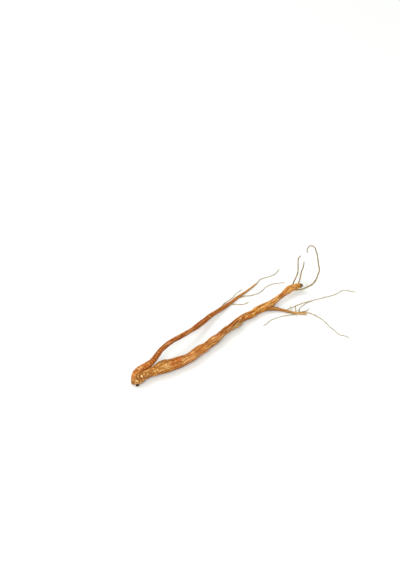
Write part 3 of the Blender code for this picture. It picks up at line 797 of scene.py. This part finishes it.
def rootlet_tube(route, seed, stoutness=1.0, sides=9, step=0.5):
    """Points and faces of a fine rootlet: a kinked, tapering tube, flared where it leaves the stem."""
    track = read_route(route, step)
    points = []
    for index, run in enumerate(track.run):
        uneven = LUMPINESS * noise.noise((run / LUMPINESS_LENGTH, seed, 0.0))
        radius = stoutness * track.radius[index] * (1.0 + uneven)
        radius *= 1.0 + FLARE * exp(-((run / FLARE_LENGTH) ** 2))
        radius *= min(1.0, 0.5 + (track.run[-1] - run) / 2.0)
        sway = [noise.noise((run / SWAY_LENGTH, seed, layer)) for layer in SWAY_LAYERS]
        middle = track.place[index] + SWAY * min(1.0, run / SWAY_FULL) * np.array(sway)
        middle[2] = max(middle[2], radius + 0.02)
        for turn in np.arange(sides) * 2.0 * pi / sides:
            heading = track.up[index] * cos(turn) + track.side[index] * sin(turn)
            points.append(middle + heading * radius * (1.0 + 0.1 * cos(3.0 * turn + run)))
    return np.array(points), tube_faces(len(track.run), sides)


def fine_piece(piece, reach, straw):
    """A thin piece, with what its colours follow: place from stem to tip, and how much it is straw."""
    keep_values(piece.data, "reach", reach)
    keep_values(piece.data, "straw", straw)
    piece.data.shade_smooth()
    return piece


def grow_rootlets():
    """All rootlets as one piece."""
    shapes, reach, straw = [], [], []
    for seed, (name, route) in enumerate(ROOTLET_ROUTES.items()):
        on_tail = name.startswith("tail")
        shape = rootlet_tube(route, 3.7 * seed, TAIL_STOUTNESS if on_tail else FLOOR_STOUTNESS)
        shapes.append(shape)
        reach.append(np.linspace(0.0, 1.0, len(shape[0])))
        straw.append(np.full(len(shape[0]), 0.0 if on_tail else 1.0))
    return fine_piece(mesh_object("rootlets", *joined(shapes)), np.concatenate(reach), np.concatenate(straw))


def hair_route(start, heading, length, draw):
    """The wandering route of one root hair, which sinks to the table."""
    points, place = [], np.array(start)
    heading = np.array(heading)
    for step in range(HAIR_POINTS):
        points.append((*place, HAIR_RADIUS - HAIR_TAPER * step))
        bend = [draw.uniform(-0.4, 0.4), draw.uniform(-0.4, 0.4), draw.uniform(-0.3, 0.12)]
        heading = heading + np.array(bend)
        heading /= np.linalg.norm(heading)
        place = place + heading * length / (HAIR_POINTS - 1)
        place[2] = max(place[2], HAIR_FLOOR)
    return points


def grow_hairs():
    """Fine root hairs on the rootlets, the lateral and the tail, as one piece."""
    draw = Random(12)
    bearers = [(route, HAIRS_ON_ROOTLETS) for route in ROOTLET_ROUTES.values()]
    bearers += [(LATERAL_ROUTE[2:], HAIRS_ON_LATERAL), (MAIN_ROUTE[17:], HAIRS_ON_TAIL)]
    shapes = []
    for bearer, density in bearers:
        track = read_route(bearer, 1.0)
        for index in range(3, len(track.run) - 1):
            if draw.random() < density:
                turn = draw.uniform(-0.5 * pi, 0.5 * pi) * 1.3
                out = track.up[index] * cos(turn) + track.side[index] * sin(turn)
                heading = out + track.along[index] * draw.uniform(0.4, 1.3)
                start = track.place[index] + out * track.radius[index] * 0.6
                length = draw.uniform(*HAIR_LENGTHS)
                route = hair_route(start, heading / np.linalg.norm(heading), length, draw)
                shapes.append(rootlet_tube(route, 0.7 * len(shapes), sides=5, step=0.6))
    piece = mesh_object("root_hairs", *joined(shapes))
    even = np.ones(len(piece.data.vertices))
    return fine_piece(piece, 0.8 * even, 0.7 * even)


def sliver_shape(number, run, turn, length, width, lift):
    """Points and faces of a loose sliver of bark: a thin curled strip, held to the stem along one end."""
    stem = STEMS[number]
    track = read_route(stem.route, FINE_STEP)
    rows, columns = max(5, round(length / SLIVER_GRID)), SLIVER_COLUMNS
    layers = []
    for thickness in (SLIVER_THICKNESS, 0.0):
        for row in range(rows):
            along = 2.0 * row / (rows - 1) - 1.0
            place_run = run + 0.5 * length * along
            index = min(len(track.run) - 1, round(place_run / track.run[1]))
            radius = track.radius[index]
            ragged = 1.0 + 0.5 * noise.noise((0.33 * row, run, 0.0))
            half = 0.5 * width * ragged * max(0.12, 1.0 - along * along) ** 0.6
            for column in range(columns):
                across = 2.0 * column / (columns - 1) - 1.0
                angle = radians(turn) + (half * across + 0.25 * width * along * along) / radius
                rise = lift * (0.15 + 0.85 * (0.5 + 0.5 * along) ** 2) * (1.0 + 0.6 * across * across) - 0.1
                rise += thickness * (1.0 - 0.7 * across * across)
                rise += 0.16 * width * noise.noise((0.12 * row, 2.2 * across, run))
                out = radius + relief(stem, place_run, angle, radius) + rise
                heading = track.up[index] * cos(angle) + track.side[index] * sin(angle)
                layers.append(track.place[index] + heading * out)
    faces = []
    bottom = rows * columns
    for row in range(rows - 1):
        for column in range(columns - 1):
            first = row * columns + column
            quad = (first, first + 1, first + columns + 1, first + columns)
            faces.append(quad)
            faces.append(tuple(bottom + index for index in reversed(quad)))
    rim = list(range(columns))
    rim += [row * columns + columns - 1 for row in range(1, rows)]
    rim += [(rows - 1) * columns + column for column in range(columns - 2, -1, -1)]
    rim += [row * columns for row in range(rows - 2, 0, -1)]
    for first, second in zip(rim, rim[1:] + rim[:1]):
        faces.append((second, first, bottom + first, bottom + second))
    return np.array(layers), faces


def lift_slivers():
    """All loose slivers of bark as one piece."""
    piece = mesh_object("bark_slivers", *joined([sliver_shape(*sliver) for sliver in BARK_SLIVERS]))
    write_points(piece.data, read_points(piece.data))
    counts = [len(sliver_shape(*sliver)[0]) for sliver in BARK_SLIVERS]
    big_flake = np.repeat([1.0] + [0.0] * (len(counts) - 1), counts)
    return fine_piece(piece, 0.05 * big_flake, 0.8 * big_flake)


def colour(red, green, blue):
    """A colour as a shader takes it, from its everyday 0 to 255 values."""
    parts = [value / 255.0 for value in (red, green, blue)]
    return (*[part / 12.92 if part <= 0.04045 else ((part + 0.055) / 1.055) ** 2.4 for part in parts], 1.0)


def feed(tree, socket, value):
    """Links a socket to another, or sets its value."""
    if isinstance(value, bpy.types.NodeSocket):
        tree.links.new(value, socket)
    else:
        socket.default_value = value


def stored(tree, name, output="Fac"):
    """A value or vector kept on the mesh."""
    reader = tree.nodes.new("ShaderNodeAttribute")
    reader.attribute_name = name
    return reader.outputs[output]


def sum_of(tree, operation, first, second=0.0, clamp=False):
    """The result of a sum on one or two values, such as ADD or MULTIPLY."""
    maths = tree.nodes.new("ShaderNodeMath")
    maths.operation = operation
    maths.use_clamp = clamp
    feed(tree, maths.inputs[0], first)
    feed(tree, maths.inputs[1], second)
    return maths.outputs[0]


def blended(tree, share, first, second, mode="MIX"):
    """Two colours mixed by a share."""
    mixer = tree.nodes.new("ShaderNodeMix")
    mixer.data_type = "RGBA"
    mixer.blend_type = mode
    feed(tree, mixer.inputs[0], share)
    feed(tree, mixer.inputs[6], first)
    feed(tree, mixer.inputs[7], second)
    return mixer.outputs[2]


def stretch(tree, value, low, high, new_low=0.0, new_high=1.0):
    """A value moved from one range to another, smoothly and within it."""
    ranger = tree.nodes.new("ShaderNodeMapRange")
    ranger.interpolation_type = "SMOOTHSTEP"
    feed(tree, ranger.inputs["Value"], value)
    for name, number in zip(("From Min", "From Max", "To Min", "To Max"), (low, high, new_low, new_high)):
        ranger.inputs[name].default_value = number
    return ranger.outputs[0]


def ramp(tree, value, stops):
    """Colours laid along a value from 0 to 1, from rows of place, red, green and blue."""
    laid = tree.nodes.new("ShaderNodeValToRGB")
    elements = laid.color_ramp.elements
    while len(elements) < len(stops):
        elements.new(0.5)
    for element, (position, *tone) in zip(elements, stops):
        element.position = position
        element.color = colour(*tone)
    feed(tree, laid.inputs[0], value)
    return laid.outputs[0]


def grain_group():
    """Grain stretched along a stem, in its own millimetres: from 0 to 1, and 0.5 where the share is 0."""
    group = bpy.data.node_groups.new("stretched_grain", "ShaderNodeTree")
    group.interface.new_socket("Place", in_out="INPUT", socket_type="NodeSocketVector")
    group.interface.new_socket("Along", in_out="INPUT", socket_type="NodeSocketFloat")
    group.interface.new_socket("Across", in_out="INPUT", socket_type="NodeSocketFloat")
    group.interface.new_socket("Share", in_out="INPUT", socket_type="NodeSocketFloat")
    group.interface.new_socket("Grain", in_out="OUTPUT", socket_type="NodeSocketFloat")
    inlet = group.nodes.new("NodeGroupInput")
    outlet = group.nodes.new("NodeGroupOutput")
    sizes = group.nodes.new("ShaderNodeCombineXYZ")
    feed(group, sizes.inputs[0], inlet.outputs["Along"])
    feed(group, sizes.inputs[1], inlet.outputs["Across"])
    feed(group, sizes.inputs[2], inlet.outputs["Across"])
    divide = group.nodes.new("ShaderNodeVectorMath")
    divide.operation = "DIVIDE"
    feed(group, divide.inputs[0], inlet.outputs["Place"])
    feed(group, divide.inputs[1], sizes.outputs[0])
    texture = group.nodes.new("ShaderNodeTexNoise")
    texture.inputs["Scale"].default_value = 1.0
    texture.inputs["Detail"].default_value = 3.0
    texture.inputs["Roughness"].default_value = 0.6
    feed(group, texture.inputs["Vector"], divide.outputs[0])
    about_middle = sum_of(group, "SUBTRACT", texture.outputs[0], 0.5)
    faded = sum_of(group, "MULTIPLY", about_middle, inlet.outputs["Share"])
    feed(group, outlet.inputs["Grain"], sum_of(group, "ADD", faded, 0.5))
    return group


def grain(tree, group, place, share, along, across):
    """One use of the stretched grain."""
    used = tree.nodes.new("ShaderNodeGroup")
    used.node_tree = group
    feed(tree, used.inputs["Place"], place)
    feed(tree, used.inputs["Share"], share)
    used.inputs["Along"].default_value = along
    used.inputs["Across"].default_value = across
    return used.outputs["Grain"]


def new_material(name):
    """An empty material with its shader."""
    material = bpy.data.materials.new(name)
    material.use_nodes = True
    return material, material.node_tree, material.node_tree.nodes["Principled BSDF"]


def bump(tree, shader, height, distance, strength=1.0):
    """Raises a height on the surface; the distance is in mm."""
    raised = tree.nodes.new("ShaderNodeBump")
    raised.inputs["Strength"].default_value = strength
    raised.inputs["Distance"].default_value = distance * MM
    feed(tree, raised.inputs["Height"], height)
    tree.links.new(raised.outputs[0], shader.inputs["Normal"])


def bark_material(group):
    """Dry golden-brown bark: streaked along the stem, painted shade in its furrows, creases, hollows and
    underside, painted highlights on its crests and beads' tops, pale on its pores.
    """
    material, tree, shader = new_material("dried_root_bark")
    place = stored(tree, "place", "Vector")
    apart = stored(tree, "apart")
    reach = stored(tree, "reach")
    main_tone = ramp(tree, reach, MAIN_TONES)
    side_tone = ramp(tree, reach, SIDE_TONES)
    lateral_tone = ramp(tree, reach, LATERAL_TONES)
    on_side = stored(tree, "on_side")
    tone = blended(tree, on_side, main_tone, side_tone)
    tone = blended(tree, stored(tree, "on_lateral"), tone, lateral_tone)
    patches = stretch(tree, grain(tree, group, place, apart, 9.0, 2.4), 0.52, 0.68, 0.0, 0.5)
    tone = blended(tree, patches, tone, colour(170, 76, 14))
    rust = stored(tree, "rust")
    tone = blended(tree, sum_of(tree, "MULTIPLY", rust, 0.75), tone, colour(176, 78, 12))
    dimmed = stretch(tree, rust, 0.4, 1.0, 1.0, 0.35)
    fibres = grain(tree, group, place, apart, 8.0, 0.62)
    streaks = stored(tree, "streaks")
    light_streaks = sum_of(tree, "MULTIPLY", streaks, stretch(tree, fibres, 0.53, 0.68, 0.0, 0.65))
    light_streaks = sum_of(tree, "MULTIPLY", light_streaks, dimmed)
    dark_streaks = sum_of(tree, "MULTIPLY", streaks, stretch(tree, fibres, 0.48, 0.34, 0.0, 0.65))
    light_wood = blended(tree, on_side, colour(228, 167, 82), colour(184, 104, 30))
    tone = blended(tree, light_streaks, tone, light_wood)
    tone = blended(tree, dark_streaks, tone, colour(124, 56, 8))
    speckle = grain(tree, group, place, apart, 1.7, 1.4)
    pale_specks = blended(tree, on_side, colour(234, 177, 98), colour(192, 112, 40))
    specks = sum_of(tree, "MULTIPLY", stretch(tree, speckle, 0.54, 0.68, 0.0, 0.6), dimmed)
    tone = blended(tree, specks, tone, pale_specks)
    tone = blended(tree, stretch(tree, speckle, 0.47, 0.34, 0.0, 0.55), tone, colour(136, 62, 10))
    mottle = sum_of(tree, "MULTIPLY", stored(tree, "crown"), stretch(tree, speckle, 0.54, 0.42), clamp=True)
    tone = blended(tree, sum_of(tree, "MULTIPLY", mottle, 0.65), tone, colour(100, 62, 16))
    for name, strength, laid_tone in BARK_LAYERS:
        share = sum_of(tree, "MULTIPLY", stored(tree, name), strength)
        tone = blended(tree, share, tone, colour(*laid_tone))
    feed(tree, shader.inputs["Base Color"], tone)
    feed(tree, shader.inputs["Roughness"], stretch(tree, fibres, 0.3, 0.7, 0.46, 0.64))
    shader.inputs["Specular IOR Level"].default_value = 0.1
    threads = grain(tree, group, place, apart, 3.0, 0.22)
    dimples = grain(tree, group, place, apart, 0.5, 0.4)
    bump(tree, shader, sum_of(tree, "ADD", threads, dimples), 0.14)
    return material


def rootlet_material(group):
    """Rootlets and bark slivers: golden brown, or greyish straw where the straw value says so."""
    material, tree, shader = new_material("dried_rootlet")
    coordinates = tree.nodes.new("ShaderNodeTexCoord")
    place = tree.nodes.new("ShaderNodeVectorMath")
    place.operation = "SCALE"
    tree.links.new(coordinates.outputs["Object"], place.inputs[0])
    place.inputs["Scale"].default_value = 1.0 / MM
    reach = stored(tree, "reach")
    golden = ramp(tree, reach, GOLDEN_TONES)
    greyish = ramp(tree, reach, GREYISH_TONES)
    tone = blended(tree, stored(tree, "straw"), golden, greyish)
    fibres = grain(tree, group, place.outputs[0], 1.0, 5.0, 0.5)
    tone = blended(tree, stretch(tree, fibres, 0.5, 0.34, 0.0, 0.5), tone, colour(132, 80, 30))
    tone = blended(tree, stretch(tree, fibres, 0.52, 0.68, 0.0, 0.5), tone, colour(222, 178, 112))
    bands = grain(tree, group, place.outputs[0], 1.0, 1.6, 1.6)
    tone = blended(tree, stretch(tree, bands, 0.48, 0.34, 0.0, 0.6), tone, colour(104, 72, 32))
    tone = blended(tree, stretch(tree, bands, 0.55, 0.7, 0.0, 0.5), tone, colour(214, 178, 112))
    feed(tree, shader.inputs["Base Color"], tone)
    shader.inputs["Roughness"].default_value = 0.6
    shader.inputs["Specular IOR Level"].default_value = 0.25
    bump(tree, shader, bands, 0.06)
    return material


def floor_material():
    """Matt white studio floor."""
    material, tree, shader = new_material("studio_white")
    shader.inputs["Base Color"].default_value = FLOOR_TONE
    shader.inputs["Roughness"].default_value = 0.85
    shader.inputs["Specular IOR Level"].default_value = 0.1
    return material


def lay_floor():
    """A wide white floor, just below the root."""
    mesh = bmesh.new()
    bmesh.ops.create_circle(mesh, cap_ends=True, segments=96, radius=FLOOR_RADIUS)
    bmesh.ops.translate(mesh, verts=mesh.verts, vec=(0.0, 0.0, -FLOOR_GAP))
    data = bpy.data.meshes.new("studio_floor")
    mesh.to_mesh(data)
    mesh.free()
    data.materials.append(floor_material())
    return placed("studio_floor", data)


def view_directions():
    """Level direction away from the camera, direction to its right, and the way it looks."""
    azimuth, elevation = radians(VIEW_AZIMUTH), radians(VIEW_ELEVATION)
    level = Vector((-sin(azimuth), cos(azimuth), 0.0))
    right = Vector((cos(azimuth), sin(azimuth), 0.0))
    return level, right, level * cos(elevation) - Vector((0.0, 0.0, sin(elevation)))


def set_camera():
    """The photograph's viewing angle, with the root at the photograph's place in the frame."""
    looking = view_directions()[2]
    lens = bpy.data.cameras.new("camera")
    lens.lens = LENS
    lens.clip_start = 0.01
    lens.clip_end = 20.0
    camera = placed("camera", lens)
    camera.location = VIEW_AIM - looking * VIEW_DISTANCE
    camera.rotation_euler = looking.to_track_quat("-Z", "Y").to_euler()
    bpy.context.scene.camera = camera


def soft_light(name, right_by, away_by, height, size, power):
    """A square soft light aimed at the root, placed from the camera's point of view, in metres."""
    level, right, _ = view_directions()
    lamp = bpy.data.lights.new(name, "AREA")
    lamp.shape = "SQUARE"
    lamp.size = size
    lamp.energy = power
    light = placed(name, lamp)
    light.location = right * right_by + level * away_by + Vector((0.0, 0.0, height))
    light.rotation_euler = (-light.location).to_track_quat("-Z", "Y").to_euler()


def set_lights():
    """White surroundings, large soft lights from the upper left and the front, a small one by the crown."""
    world = bpy.data.worlds.new("studio")
    world.use_nodes = True
    world.node_tree.nodes["Background"].inputs["Color"].default_value = (1.0, 1.0, 1.0, 1.0)
    world.node_tree.nodes["Background"].inputs["Strength"].default_value = WORLD_STRENGTH
    bpy.context.scene.world = world
    for name, setting in SOFT_LIGHTS.items():
        soft_light(name, *setting)
    bpy.context.scene.view_settings.view_transform = "Standard"


set_camera()
grain_nodes = grain_group()
bark = bark_material(grain_nodes)
straw = rootlet_material(grain_nodes)
skin = grow_skin()
rootlets = grow_rootlets()
hairs = grow_hairs()
slivers = lift_slivers()
for piece, finish in ((skin, bark), (rootlets, straw), (hairs, straw), (slivers, straw)):
    piece.data.materials.clear()
    piece.data.materials.append(finish)
    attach(piece, "root")
    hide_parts("ginseng_root")
lay_floor()
set_lights()
